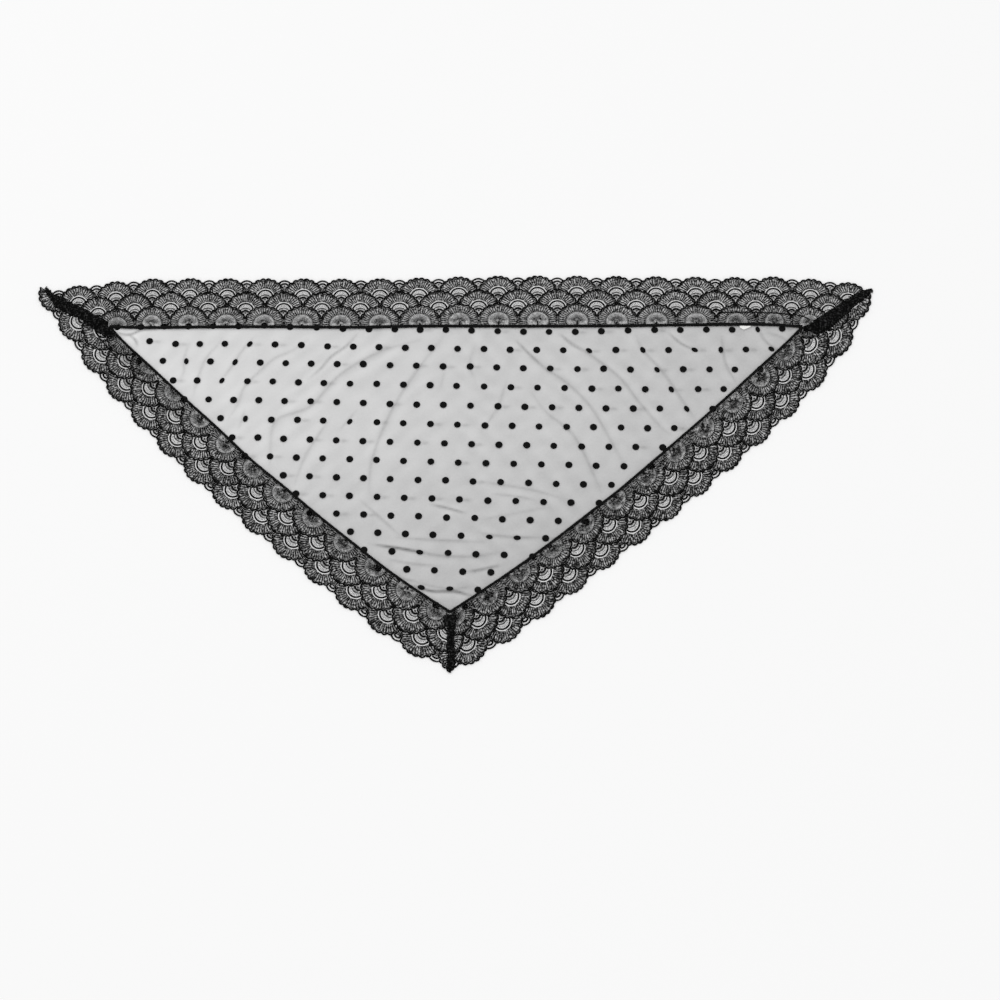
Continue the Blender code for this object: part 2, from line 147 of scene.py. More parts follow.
# A crease is painted with shade, partly for the more cloth seen through a steep fold: a dark line along
# its crest and a soft one round it, with a painted highlight beside.
CREASE_LINE = 0.0022          # half width of the dark line
LINE_SHADE_SHARE = 1.6
SOFT_SHADE_SHARE = 1.1
HIGHLIGHT_SHARE = -0.60
HIGHLIGHT_REACH = 2.5                  # how many spreads the painted highlight beside a crease reaches
# How close the cloth looks: painted shade makes it a little darker to the right and downwards, away from
# the light, and it is uneven all over.
CHIFFON_CLOSE = 0.217
PAINTED_SHADE_RIGHT = 0.125
PAINTED_SHADE_DOWN = 0.30
PAINTED_SHADE_BELOW = 0.06
SWELL_SHADE_STREAK = 0.011                # how much the faint slanting streaks of painted light and shade, for slow swells between the creases, show
MOTTLE = 0.007                # how unevenly close the cloth looks between them
MOTTLE_WAVES = [(96, 61, 38), (43, -118, 51), (-137, 174, 29)]
ALLOWANCE_FADE = 0.60         # how much less the allowance shows, under the lace
WEAVE_MOTTLE = 0.05


def smooth_line(rows):
    """Smooth plane line through rows of (number, x, y), as a function of the number."""
    number = np.array([row[0] for row in rows], float)
    point = np.array([row[1:] for row in rows], float)
    before = np.maximum(np.arange(len(rows)) - 1, 0)
    after = np.minimum(np.arange(len(rows)) + 1, len(rows) - 1)
    slope = (point[after] - point[before]) / (number[after] - number[before])[:, None]

    def at(n):
        n = np.asarray(n, float)
        i = np.clip(np.searchsorted(number, n, side="right") - 1, 0, len(rows) - 2)
        span = (number[i + 1] - number[i])[..., None]
        s = (n - number[i])[..., None] / span
        start = point[i] * (2 * s**3 - 3 * s**2 + 1) + slope[i] * span * (s**3 - 2 * s**2 + s)
        end = point[i + 1] * (3 * s**2 - 2 * s**3) + slope[i + 1] * span * (s**3 - s**2)
        return start + end

    return at


def outward(line):
    """Unit vectors to the left of a line of points, which is outwards on a clockwise edge."""
    ahead = np.gradient(line, axis=0)
    ahead /= np.linalg.norm(ahead, axis=1)[:, None]
    return np.stack([-ahead[:, 1], ahead[:, 0]], axis=1)


def sewing_line(points):
    """Evenly spaced points of one seam, from corner to corner."""
    steps = np.linalg.norm(np.diff(np.array(points), axis=0), axis=1)
    along = np.concatenate([[0.0], np.cumsum(steps)])
    line = smooth_line([(a, x, y) for a, (x, y) in zip(along, points)])
    return line(np.linspace(0.0, along[-1], SEAM_STATIONS + 1))


def inside(points, outline):
    """Which of the points lie within a closed outline."""
    x, y = points[:, 0:1], points[:, 1:2]
    a, b = outline, np.roll(outline, -1, axis=0)
    straddles = (a[:, 1] > y) != (b[:, 1] > y)
    drop = np.where(a[:, 1] == b[:, 1], 1.0, b[:, 1] - a[:, 1])
    crossing = a[:, 0] + (y - a[:, 1]) * (b[:, 0] - a[:, 0]) / drop
    return (straddles & (x < crossing)).sum(axis=1) % 2 == 1


def distance_to(points, line):
    """Distance from each point to an open line, and how far along the line its foot is, 0 to 1."""
    line = np.asarray(line, float)
    lengths = np.linalg.norm(np.diff(line, axis=0), axis=1)
    nearest = np.full(len(points), np.inf)
    foot = np.zeros(len(points))
    for i, (a, b) in enumerate(zip(line[:-1], line[1:])):
        side = b - a
        share = np.clip((points - a) @ side / (side @ side), 0.0, 1.0)
        away = np.linalg.norm(points - a - share[:, None] * side, axis=1)
        closer = away < nearest
        nearest = np.where(closer, away, nearest)
        foot = np.where(closer, (lengths[:i].sum() + share * lengths[i]) / lengths.sum(), foot)
    return nearest, foot


def in_metres(crease):
    """A crease with its lengths in metres and its crest as a smooth line."""
    line = smooth_line([(i, x / 1000, y / 1000) for i, (x, y) in enumerate(crease.crest)])
    last = len(crease.crest) - 1
    crest = line(np.linspace(0, last, CREST_STEPS * last + 1))
    return Crease(crease.height / 1000, crease.spread / 1000, crease.shade, crest)


CREASES = [in_metres(crease) for crease in CREASES]
seams = {side.name: sewing_line(side.seam) for side in SEWING_LINES}
sewn = np.concatenate([line[:-1] for line in seams.values()])


def past_seam(points):
    """Distance outside the sewing line, negative on the panel."""
    away, _ = distance_to(points, np.concatenate([sewn, sewn[:1]]))
    return np.where(inside(points, sewn), -away, away)


def around(reach):
    """Closed outline at a distance outside the sewing line, round at the corners."""
    lines = list(seams.values())
    outline = []
    for i, line in enumerate(lines):
        out = outward(line)
        outline.append(line + out * reach)
        turn_from = math.atan2(out[-1][1], out[-1][0])
        next_out = outward(lines[(i + 1) % 3])[0]
        turn = (turn_from - math.atan2(next_out[1], next_out[0])) % (2 * math.pi)
        angles = turn_from - turn * np.arange(1, CORNER_TURNS) / CORNER_TURNS
        outline.append(line[-1] + reach * np.stack([np.cos(angles), np.sin(angles)], axis=1))
    return np.concatenate(outline)


def crease_share(points, crease, reach):
    """1 on the crest of a crease, falling to 0 at its reach and towards its two ends."""
    away, foot = distance_to(points, crease.crest)
    ends = np.clip(np.minimum(foot, 1 - foot) / 0.25, 0.0, 1.0)
    return np.clip(1.0 - away / reach, 0.0, 1.0) ** 2 * (0.25 + 0.75 * ends)


def chiffon_height(points):
    """How high the panel lies: its creases, and a slow swell between them."""
    x, y = points[:, 0], points[:, 1]
    high = 0.0002 * (2 + np.sin(19 * x + 11 * y) + np.sin(31 * y - 13 * x + 1.3))
    for crease in CREASES:
        high = np.maximum(high, crease.height * crease_share(points, crease, crease.spread))
    free = np.clip(-past_seam(points) / 0.012, 0.0, 1.0)
    return CHIFFON_LIES + high * free


def new_piece(name, points, faces, material, smooth=True):
    """A mesh piece that rides on the scarf."""
    mesh = bpy.data.meshes.new(name)
    mesh.from_pydata(np.asarray(points).tolist(), [], faces)
    mesh.materials.append(material)
    if smooth:
        mesh.shade_smooth()
    piece = bpy.data.objects.new(name, mesh)
    bpy.context.scene.collection.objects.link(piece)
    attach(piece, "root")
    return piece


def cloth_material(name, colour, roughness, sheen=0.0, gloss=0.05):
    """Plain cloth of one colour, with its node tree and shader for what is added to it."""
    material = bpy.data.materials.new(name)
    material.use_nodes = True
    tree = material.node_tree
    shader = tree.nodes["Principled BSDF"]
    shader.inputs["Base Color"].default_value = (*colour, 1.0)
    shader.inputs["Roughness"].default_value = roughness
    shader.inputs["Specular IOR Level"].default_value = gloss
    shader.inputs["Sheen Weight"].default_value = sheen
    shader.inputs["Sheen Roughness"].default_value = 0.5
    return material, tree, shader


def add_node(tree, kind, **values):
    """A node with its properties and unlinked inputs set; inputs are given with _ for a space."""
    made = tree.nodes.new(kind)
    for key, value in values.items():
        socket = made.inputs.get(key.replace("_", " "))
        if socket is not None:
            socket.default_value = value
        else:
            setattr(made, key, value)
    return made


def fine_bump(tree, shader, scale, depth):
    """Thread texture: bump from fine noise, in the scarf's own metres."""
    place = add_node(tree, "ShaderNodeTexCoord")
    noise = add_node(tree, "ShaderNodeTexNoise", Scale=scale, Detail=3.0)
    bump = add_node(tree, "ShaderNodeBump", Strength=0.6, Distance=depth)
    tree.links.new(place.outputs["Object"], noise.inputs["Vector"])
    tree.links.new(noise.outputs["Fac"], bump.inputs["Height"])
    tree.links.new(bump.outputs["Normal"], shader.inputs["Normal"])
    return noise


def see_through(tree, shader, noise, attribute, mottle):
    """Alpha from a mesh attribute, mottled by the noise."""
    close = add_node(tree, "ShaderNodeAttribute", attribute_name=attribute)
    spread = add_node(tree, "ShaderNodeMapRange", To_Min=1.0 - mottle, To_Max=1.0 + mottle)
    spread.inputs["From Min"].default_value = 0.38
    spread.inputs["From Max"].default_value = 0.62
    alpha = add_node(tree, "ShaderNodeMath", operation="MULTIPLY")
    tree.links.new(noise.outputs["Fac"], spread.inputs["Value"])
    tree.links.new(close.outputs["Fac"], alpha.inputs[0])
    tree.links.new(spread.outputs["Result"], alpha.inputs[1])
    tree.links.new(alpha.outputs["Value"], shader.inputs["Alpha"])


panel_edge = around(ALLOWANCE)
grid_low, grid_high = panel_edge.min(axis=0), panel_edge.max(axis=0)
grid = []
for row in range(int((grid_high[1] - grid_low[1]) / (CHIFFON_GRID * GRID_ROW))):
    shift = 0.5 * (row % 2)
    for column in range(int((grid_high[0] - grid_low[0]) / CHIFFON_GRID)):
        grid.append(grid_low + CHIFFON_GRID * np.array([column + shift, row * GRID_ROW]))
grid = np.array(grid)
grid = grid[past_seam(grid) < ALLOWANCE - 0.4 * CHIFFON_GRID]
flat, _, triangles, *_ = delaunay_2d_cdt(
    [Vector(p) for p in np.concatenate([panel_edge, grid])], [], [list(range(len(panel_edge)))], 1, 1e-6,
)
flat = np.array([tuple(p) for p in flat])

chiffon, tree, shader = cloth_material("sheer_chiffon", (0.030, 0.029, 0.030), 0.75, sheen=0.10)
weave = fine_bump(tree, shader, 420.0, 0.0002)
see_through(tree, shader, weave, "closeness", WEAVE_MOTTLE)

panel = new_piece("panel", np.column_stack([flat, chiffon_height(flat)]), triangles, chiffon)
x, y = flat[:, 0], flat[:, 1]
# Painted shade: the cloth is made a little darker to the right and downwards.
closeness = CHIFFON_CLOSE + PAINTED_SHADE_RIGHT * x + PAINTED_SHADE_DOWN * np.clip(PAINTED_SHADE_BELOW - y, 0.0, None)
# Painted shade along each crease, and a painted highlight beside it.
for crease in CREASES:
    closeness += LINE_SHADE_SHARE * crease.shade * crease_share(flat, crease, 2 * CREASE_LINE)
    closeness += SOFT_SHADE_SHARE * crease.shade * crease_share(flat, crease, crease.spread)
    closeness += HIGHLIGHT_SHARE * crease.shade * crease_share(flat, crease, HIGHLIGHT_REACH * crease.spread)
# Painted light and shade of slow swells, as faint slanting streaks.
slant = np.abs(x) + y
closeness += SWELL_SHADE_STREAK * np.sin(150 * slant + 2 * np.sin(23 * y + 3)) * (0.6 + 0.4 * np.sin(45 * x))
for run, rise, bend in MOTTLE_WAVES:
    closeness += MOTTLE * np.sin(run * x + rise * y + 2 * np.sin(bend * slant + run))
closeness *= 1.0 - ALLOWANCE_FADE * np.clip((past_seam(flat) - 0.002) / 0.004, 0.0, 1.0)
panel.data.attributes.new("closeness", "FLOAT", "POINT").data.foreach_set("value", closeness)
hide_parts("centre_panel")

# Turned corners
# By the two upper corners the panel's edge is cut wider and turned under. It shows through the lace
# as a fine dark line with a closer band inside it.

Turning = namedtuple("Turning", "side closeness edge")
TURNINGS = [
    Turning("left", 0.06, [
        (-0.595, 0.240), (-0.572, 0.212), (-0.545, 0.184), (-0.528, 0.172), (-0.515, 0.166),
    ]),
    Turning("top", 0.09, [
        (0.430, 0.268), (0.442, 0.280), (0.484, 0.282), (0.534, 0.280), (0.575, 0.276), (0.592, 0.268),
    ]),
]
TURNING_LIES = 0.0004
TURNING_ROWS = 5
TURNING_STEPS = 30
TURNED_EDGE = 0.0012          # half width of the line along its edge
EDGE_CLOSE = 0.85
EDGE_RISE = 0.0001

for turning in TURNINGS:
    edge = smooth_line([(i, x, y) for i, (x, y) in enumerate(turning.edge)])
    edge = edge(np.linspace(0, len(turning.edge) - 1, TURNING_STEPS + 1))
    seam = seams[turning.side]
    foot = np.array([seam[np.argmin(np.linalg.norm(seam - spot, axis=1))] for spot in edge])
    side_of = edge - foot
    hem_edge = TURNED_EDGE * side_of / np.linalg.norm(side_of, axis=1)[:, None]
    shares = np.linspace(0.0, 1.0, TURNING_ROWS)[:, None, None]
    sheet = (foot + shares * side_of).reshape(-1, 2)
    rolled = np.concatenate([sheet, edge + hem_edge, edge - hem_edge])
    faces, close = [], []
    row_length = TURNING_STEPS + 1
    for row in [*range(TURNING_ROWS - 1), TURNING_ROWS]:
        for i in range(TURNING_STEPS):
            a = row_length * row + i
            faces.append((a, a + 1, a + row_length + 1, a + row_length))
            close.append(EDGE_CLOSE if row == TURNING_ROWS else turning.closeness)
    lies = np.full(len(rolled), TURNING_LIES)
    lies[row_length * TURNING_ROWS:] += EDGE_RISE
    hem = new_piece("turned_edge_" + turning.side, np.column_stack([rolled, lies]), faces, chiffon)
    hem.data.attributes.new("closeness", "FLOAT", "FACE").data.foreach_set("value", close)

# Flocked dots
# Round dots of black flock, printed on the chiffon in staggered rows. The rows follow the cloth,
# which was pulled a little up at the left and closer together towards the point.

DOT_RADIUS = 0.0056
DOT_HIGH = 0.0006
DOT_SIDES = 20
DOT_ROWS = range(-1, 15)
DOT_COLUMNS = range(-14, 15)
DOT_WANDER = 0.0006
SHARP = 0.0105                # creases no wider than this squeeze the dots that lie on them,
ON_CREASE = 0.0055            # no further than this from the crest
SQUEEZE = 0.68
# Round levels of one dot: its share of the radius and of the height.
DOT_LEVELS = [(1.0, -0.2), (1.0, 0.45), (0.86, 0.85), (0.5, 1.0)]
# Some dots have a faint painted shadow on the cloth beside them, to their right.
SHADOWED_DOTS = 0.35
DOT_SHADOW = 0.110
DOT_SHADOW_AT = (0.0128, -0.0010)
DOT_SHADOW_REACH = (0.0065, 0.0028)
# Beside the top seam the two nearest rows are drawn along and down: x, then how far, all in mm.
Pull = namedtuple("Pull", "x along down")
PULLS = [
    Pull(-560, -3.0, 8.0), Pull(-440, 0.0, 6.5), Pull(-320, 4.0, 4.0), Pull(-200, 8.0, 7.0),
    Pull(-80, 7.0, 6.0), Pull(100, 2.0, 6.0), Pull(220, -1.0, 5.0), Pull(300, 0.0, 0.8),
    Pull(500, 1.0, 0.0),
]
PULL_SHARE = {-1: 1.0, 0: 0.55}
DOTS_PULLED = {(0, -12): (-0.0040, 0.0055)}    # off its place in the row, by the left corner
DOTS_CUT = {(0, -13)}                          # lost in the left seam


def dot_place(row, column):
    """Where a dot lies. Row 0 is the first whole row below the top seam; worked in mm."""
    x = 2.5 + 0.63 * row + 0.04 * row**2
    x += (44.14 + 0.085 * row + 0.06 * column - 0.0094 * column**2) * column
    out = x / 100
    y = 217.4 - 36.3 * row + 0.2665 * row**2
    y += (-2.25 + 0.098 * out + 0.035 * out**2 - 0.145 * row + 0.0098 * row * out) * out
    share = PULL_SHARE.get(row, 0.0)
    at, along, down = np.array(PULLS).T
    return np.array([x + share * np.interp(x, at, along), y - share * np.interp(x, at, down)]) / 1000


def nearest_crease(spot):
    """Distance from a dot to the nearest sharp crease, and the direction of that crease."""
    best = (np.inf, np.array([1.0, 0.0]))
    for crease in CREASES:
        if crease.spread > SHARP:
            continue
        line = np.array(crease.crest)
        for a, b in zip(line[:-1], line[1:]):
            away, _ = distance_to(spot[None], [a, b])
            if away[0] < best[0]:
                best = (away[0], (b - a) / np.linalg.norm(b - a))
    return best


def tube_faces(first, stations, sides, turned_over=False):
    """Faces of a closed tube, from points that go round it, one station after another."""
    faces = []
    last = first + (stations - 1) * sides
    for a in range(first, last, sides):
        for k in range(sides):
            m = (k + 1) % sides
            faces.append([a + k, a + m, a + sides + m, a + sides + k])
    faces.append([first + k for k in reversed(range(sides))])
    faces.append([last + k for k in range(sides)])
    return [[face[0], *face[:0:-1]] for face in faces] if turned_over else faces


flock, tree, shader = cloth_material("flock", (0.005, 0.005, 0.005), 0.95, sheen=0.02)
fine_bump(tree, shader, 1500.0, 0.0003)

wander = random.Random(7)
spots = []
for row in DOT_ROWS:
    for column in DOT_COLUMNS:
        if (row, column) in DOTS_CUT:
            continue
        spot = dot_place(row, column + 0.5 * (row % 2)) + DOTS_PULLED.get((row, column), (0.0, 0.0))
        spots.append(spot + DOT_WANDER * np.array([wander.uniform(-1, 1), wander.uniform(-1, 1)]))
spots = np.array(spots)
spots = spots[past_seam(spots) < ALLOWANCE - DOT_RADIUS]

turns = np.linspace(0.0, 2 * math.pi, DOT_SIDES, endpoint=False)
rim = np.column_stack([np.cos(turns), np.sin(turns)])
dot_flat, dot_high, dot_faces = [], [], []
for spot in spots:
    away, run = nearest_crease(spot)
    squeeze = SQUEEZE if away < ON_CREASE else 1.0
    across = np.array([-run[1], run[0]])
    reach = DOT_RADIUS * wander.uniform(0.97, 1.07)
    dot_faces += tube_faces(len(dot_high), len(DOT_LEVELS), DOT_SIDES)
    for share, high in DOT_LEVELS:
        round_off = np.outer(rim @ run, run) + squeeze * np.outer(rim @ across, across)
        dot_flat += (spot + reach * share * round_off).tolist()
        dot_high += [DOT_HIGH * high] * DOT_SIDES
    # A painted shadow of this dot on the cloth beside it.
    if wander.random() < SHADOWED_DOTS:
        off = (flat - spot - DOT_SHADOW_AT) / DOT_SHADOW_REACH
        closeness += DOT_SHADOW * np.exp(-(off**2).sum(axis=1))
panel.data.attributes["closeness"].data.foreach_set("value", closeness)
dot_flat = np.array(dot_flat)
dot_points = np.column_stack([dot_flat, chiffon_height(dot_flat) + np.array(dot_high)])
dots = new_piece("dots", dot_points, dot_faces, flock)

# Lace bands
# Black machine lace, one length along each edge. Three rows of fans overlap like scales, the inner
# rows over the outer ones, with a small scallop between two outer fans. Each fan has a corded rim,
# twelve looped petals, an open arc and a light eye. It is eased round the scarf, so the fans are
# spaced by the line on which the outer fans' centres lie.

PITCH = 0.0650
FAN_REACH = 0.0343
PETAL_TURN = math.radians(17.4)
BUMP = 0.0026                 # depth of the small notches round a fan's rim
LIFT = 0.0013                 # lace over the panel's allowance
LAP_END = ALLOWANCE + 0.0015
LAP_SLOPE = 0.0115
NET_LIES = 0.0006
TIP_LEFT = (-0.6900, 0.3260)
TIP_RIGHT = (0.7000, 0.3235)
TIP_POINT = (-0.0030, -0.3510)

# Each band: its seam, how dense its net is, how far it is slid along its line, how far its inner
# rows lean along it, how far in from the line its three rows' centres lie, the mitres at its two
# ends, and the line itself, clockwise, as (fan number, x, y).
Band = namedtuple("Band", "name dense slide lean depths mitre_before mitre_after fans")
BANDS = [
    Band("top", 1.0, 0.0, 0.0, (0.0020, 0.0270, 0.0526),
         (CORNER_LEFT, TIP_LEFT), (CORNER_RIGHT, TIP_RIGHT), [
        (-1, -0.6920, 0.2880), (0, -0.6300, 0.2985), (1, -0.5680, 0.3065), (2, -0.5070, 0.3115),
        (5, -0.3180, 0.3120), (8, -0.1260, 0.3120), (11, 0.0720, 0.3170), (14, 0.2700, 0.3165),
        (17, 0.4690, 0.3145), (18, 0.5330, 0.3155), (19, 0.5950, 0.3115), (20, 0.6580, 0.3045),
        (21, 0.7150, 0.2850),
    ]),
    Band("right", 1.12, -0.0045, -0.145, (-0.0008, 0.0243, 0.0498),
         (CORNER_RIGHT, TIP_RIGHT), (CORNER_POINT, TIP_POINT), [
        (0, 0.6800, 0.3790), (1, 0.6590, 0.3030), (2, 0.6240, 0.2350), (3, 0.5770, 0.1721),
        (4, 0.5310, 0.1204), (6, 0.4332, 0.0273), (8, 0.3341, -0.0586), (10, 0.2316, -0.1424),
        (12, 0.1272, -0.2258), (13, 0.0745, -0.2660), (14, 0.0190, -0.3015), (15, -0.0370, -0.3290),
    ]),
    Band("left", 1.08, -0.0036, 0.03, (-0.0004, 0.0245, 0.0500),
         (CORNER_POINT, TIP_POINT), (CORNER_LEFT, TIP_LEFT), [
        (-1, 0.0700, -0.3450), (0, 0.0090, -0.3165), (1, -0.0512, -0.2872), (2, -0.1052, -0.2494),
        (4, -0.2072, -0.1660), (6, -0.3099, -0.0793), (8, -0.4070, 0.0087), (10, -0.4977, 0.1047),
        (12, -0.5848, 0.2074), (13, -0.6285, 0.2685), (14, -0.6640, 0.3195), (15, -0.6830, 0.3815),
    ]),
]

# Zones of a fan from its centre outwards: the zone's outer radius, and how close its net is. A
# closeness of None is left open.
OUTER_FAN = [(0.0060, 0.32), (0.0114, 0.10), (0.0138, 0.85), (0.0159, None), (0.0176, 0.80),
             (0.0292, 0.66), (FAN_REACH, 0.60)]
INNER_FAN = [(0.0050, 0.50), (0.0105, 0.32), (0.0168, 0.23), (0.0187, None), (0.0198, 0.54),
             (0.0292, 0.55), (FAN_REACH, 0.56)]
SCALLOP = [(0.0030, 0.27), (0.0058, 0.22), (0.0080, 0.85), (0.0104, None), (0.0127, 0.70)]
EYE_ZONES = 3                 # the innermost zones of a fan
PETALS_END = 0.0292           # how far out the petals' slits run
SLIT = math.radians(1.0)      # half the width of the open slit in each petal and beside it
SLIT_CLOSE = (0.0, 0.06)      # closeness of a slit in the two outer rows, and in the inner row
DENSE_SLITS = 2.3             # how much more closed a dense band's slits are,
DENSE_EYES = 1.5              # and the eyes of its inner row
CLOSEST = 0.90
NET_MOTTLE = 0.72
NET_BEHIND = 0.50             # closeness inwards of a row of fans
FRONT = math.radians(22)      # to each side of a fan's front the slits are narrow and the net plain
FRONT_BODY = 0.56
FRONT_SLIT = 0.30
SOFT = math.radians(48)       # out to here on each side the slits are a little closed
SOFT_SLIT = 0.14
SEAM_CLEAR = 0.0008           # the lace stops this short of its sewing line,
MITRE_CLEAR = 0.0006          # and its cords this short of the mitres
FEEL = 0.075                  # how far out from a fan's centre its net is followed
SCALLOP_CENTRE = -0.0160
SCALLOP_REACH = 0.0127


def fan_rim(angle, reach):
    """Radius of a fan's rim, with a small notch between each two petals."""
    return reach - BUMP * (1.0 - np.abs(np.sin(math.pi * angle / PETAL_TURN)))


class Lace:
    """One band of lace. Its own coordinates are x along the band and v inwards, both in metres."""

    def __init__(self, band):
        self.line = smooth_line(band.fans)
        self.lean = band.lean
        self.band = band
        self.first, self.last = band.fans[0][0], band.fans[-1][0]
        seam = seams[band.name]
        ends = [seam[:1] - (seam[1] - seam[0]) * 25, seam[-1:] + (seam[-1] - seam[-2]) * 25]
        seam = np.concatenate([ends[0], seam, ends[1]])
        self.numbers = np.linspace(self.first - 0.5, self.last + 0.5, 8 * (self.last - self.first + 1))
        depths = np.linspace(0.030, 0.110, 321)
        self.depths = []
        for number in self.numbers:
            there = self.place(np.full(len(depths), number * PITCH), depths)
            self.depths.append(depths[np.argmin(distance_to(there, seam)[0])])

    def place(self, x, v):
        """Points on the scarf from the lace's own coordinates."""
        number = (x + self.band.slide) / PITCH
        ahead = self.line(number + 0.02) - self.line(number - 0.02)
        ahead /= np.linalg.norm(ahead, axis=-1)[..., None]
        inwards = np.stack([ahead[..., 1], -ahead[..., 0]], axis=-1)
        return self.line(number) + inwards * v[..., None] + ahead * (self.lean * v)[..., None]

    def seam_depth(self, x):
        return np.interp(x / PITCH, self.numbers, self.depths)

    def height(self, x, v):
        """Height of the net: on the table, or over the panel's allowance."""
        out = self.seam_depth(x) - v
        over = np.clip((LAP_END + LAP_SLOPE - out) / LAP_SLOPE, 0.0, 1.0)
        swell = 0.00025 * (1 + np.sin(61 * x + 23 * v) * np.sin(37 * v - 29 * x))
        return NET_LIES + LIFT * over + swell * (1 - 0.6 * over)

    def is_within(self, x, v):
        """True short of the seam and of both mitres."""
        there = self.place(x, v)
        short = v < self.seam_depth(x) - SEAM_CLEAR
        for (corner, tip), side in ((self.band.mitre_before, -1), (self.band.mitre_after, 1)):
            corner, tip = np.array(corner), np.array(tip)
            run = (tip - corner) / np.linalg.norm(tip - corner)
            away = (there[..., 1] - corner[1]) * run[0] - (there[..., 0] - corner[0]) * run[1]
            short &= away * side > MITRE_CLEAR
        return short


def shows(lace, row, centre, x, v):
    """True where a fan isn't covered by the next row inwards or by its neighbours."""
    clear = np.ones(x.shape, bool)
    if row >= 0:
        clear &= np.abs(x - centre[0]) <= PITCH / 2
    if row < 2:
        for side in (-1, 1):
            over = (centre[0] + side * PITCH / 2, lace.band.depths[row + 1])
            clear &= np.hypot(x - over[0], v - over[1]) >= FAN_REACH
    return clear


# The net: a patch from each fan's centre out to where the next fan covers it.
outer_angles = np.arange(-33, 34) * PETAL_TURN / 6
slit_angles = np.arange(-11, 12) * PETAL_TURN / 2
slit_edges = np.sort(np.concatenate([slit_angles - SLIT, slit_angles + SLIT]))
inner_angles = np.linspace(slit_edges[-1], 2 * math.pi + slit_edges[0], 40)[1:-1]
patch_angles = np.concatenate([slit_edges, inner_angles])
feelers = np.linspace(0.0, FEEL, 301)


def net_patch(lace, row, centre, zones, reach, net):
    """Adds one fan's net to net, a dict of points, faces and closeness."""
    angle = np.where(patch_angles > math.pi, patch_angles - 2 * math.pi, patch_angles)
    rim_at = np.where(np.abs(angle) < slit_edges[-1] + 0.001, fan_rim(angle, reach), FEEL)
    x = centre[0] + np.outer(np.sin(angle), feelers)
    v = centre[1] - np.outer(np.cos(angle), feelers)
    clear = shows(lace, row, centre, x, v) & (feelers <= rim_at[:, None])
    clear &= v < lace.seam_depth(x) - SEAM_CLEAR
    starts = np.argmax(clear, axis=1)
    past_start = np.arange(len(feelers)) >= starts[:, None]
    ends = np.argmax(np.append(past_start & ~clear, np.ones((len(angle), 1), bool), axis=1), axis=1) - 1
    start_at = np.where(clear.any(axis=1), feelers[starts], 0.0)
    reach_at = np.where(clear.any(axis=1), np.minimum(feelers[ends], rim_at), 0.0)
    radii = [0.0] + [zone[0] for zone in zones[:-1]] + [reach]
    closes = [zone[1] for zone in zones]
    if row == 2:
        radii.append(FEEL)
        closes.append(NET_BEHIND)
    rings = np.array([np.clip(radius, start_at, reach_at) for radius in radii[:-1]] + [reach_at])
    px = centre[0] + np.sin(angle) * rings
    pv = centre[1] - np.cos(angle) * rings
    first = len(net["points"])
    net["points"] += np.column_stack([
        lace.place(px.ravel(), pv.ravel()), lace.height(px.ravel(), pv.ravel()),
    ]).tolist()
    count = len(angle)
    for ring, close in enumerate(closes):
        for i in range(count):
            j = (i + 1) % count
            depth = max(rings[ring + 1][i] - rings[ring][i], rings[ring + 1][j] - rings[ring][j])
            inwards = i >= len(slit_edges) - 1
            in_petals = row >= 0 and radii[ring + 1] == PETALS_END
            is_slit = i % 2 == 0
            if inwards and ring >= EYE_ZONES:
                shade = NET_BEHIND
            elif in_petals and abs(angle[i]) < FRONT:
                shade = FRONT_SLIT if is_slit and abs(angle[i]) > 2 * SLIT else FRONT_BODY
            elif in_petals and is_slit:
                shade = SLIT_CLOSE[row // 2] + DENSE_SLITS * (lace.band.dense - 1.0)
                shade += SOFT_SLIT if abs(angle[i]) < SOFT else 0.0
            elif row == 2 and ring < EYE_ZONES:
                shade = close + DENSE_EYES * (lace.band.dense - 1.0)
            else:
                shade = close
            if depth < 0.00005 or not shade:
                continue
            a, b = first + ring * count + i, first + ring * count + j
            corners = [a, b, b + count, a + count]
            net["faces"].append(corners)
            net["close"].append(shade)


# The cords: thread-covered ridges, each swept along a line in the lace's own coordinates.
FINE = 4                      # finer steps, in which a cord is followed to where it's covered
RIM_HALF, RIM_HIGH = 0.00140, 0.0012
RIM_SIDE = 12                 # steps of the rim, at each side,
RIM_SIDE_HALF = 0.00090       # that are thinner where two outer fans meet
THREAD_HALF, THREAD_HIGH = 0.00050, 0.0006
ARC_HIGH = 0.0009
KNOT_HALF, KNOT_HIGH = 0.0008, 0.0013
SCALLOP_KNOTS = [(0.0, 0.0005), (0.0030, 0.0004)]   # how far out of the meeting, and half width
KNOT_ALONG = (-0.0024, -0.0012, 0.0012, 0.0024)
# Sections of a thread and of a heavier cord, as shares of the half width and of the height.
THREAD_SECTION = [(-1.0, -0.15), (0.0, 1.0), (1.0, -0.15)]
CORD_SECTION = [(-1.0, -0.15), (-0.55, 1.0), (0.55, 1.0), (1.0, -0.15)]
Petal = namedtuple("Petal", "radius half")
PETAL = [
    Petal(0.0172, 0.0012), Petal(0.0205, 0.0016), Petal(0.0240, 0.0018), Petal(0.0275, 0.0021),
    Petal(0.0298, 0.0020), Petal(0.0311, 0.0012),
]
